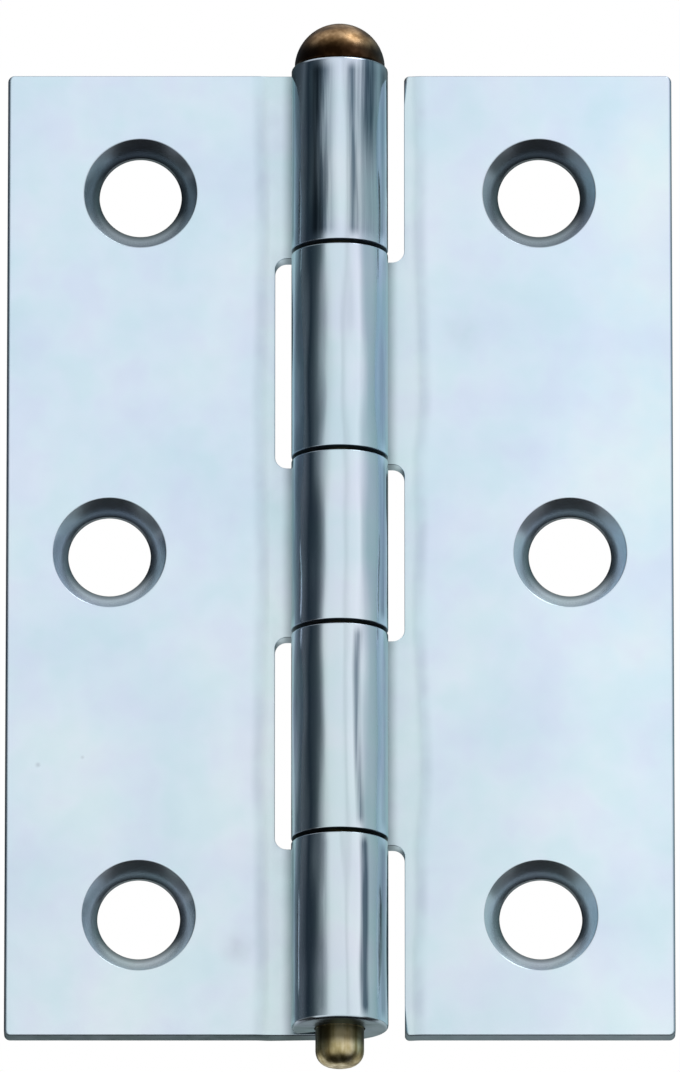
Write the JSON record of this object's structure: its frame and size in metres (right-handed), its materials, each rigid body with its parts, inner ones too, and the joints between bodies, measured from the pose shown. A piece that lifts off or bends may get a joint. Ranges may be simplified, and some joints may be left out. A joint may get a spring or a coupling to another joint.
{
  "type": "flap hinge",
  "caption": "Loose-pin flap hinge: flat steel leaves with countersunk screw holes and rolled knuckles, turning on a domed brass pin that lifts out.",
  "frame": {"origin": "on the pin's axis, halfway along the leaves", "axes": "+Z along the pin towards its domed head, +X across the leaves towards the leaf with two knuckles, -Y out of the countersunk front faces"},
  "size_m": [0.051, 0.0074, 0.0824],
  "materials": {
    "zinc_steel": "bright zinc plate, slightly blue, satin on the leaves and brighter on the knuckles",
    "pin_brass": "brass tarnished to brown, worn brighter on the crown of the head and the tip"
  },
  "bodies": {
    "leaf_left": {"leaf_left": "zinc_steel"},
    "leaf_right": {"leaf_right": "zinc_steel"},
    "hinge_pin": {"hinge_pin": "pin_brass"}
  },
  "joints": [
    {"name": "swing", "type": "hinge", "parent": "leaf_left", "child": "leaf_right", "pos_m": [0, 0, 0], "axis": [0, 0, -1], "range_deg": [-100, 180]},
    {"name": "pin_lift", "type": "slide", "parent": "leaf_left", "child": "hinge_pin", "axis": [0, 0, 1], "range_m": [0, 0.08]}
  ]
}
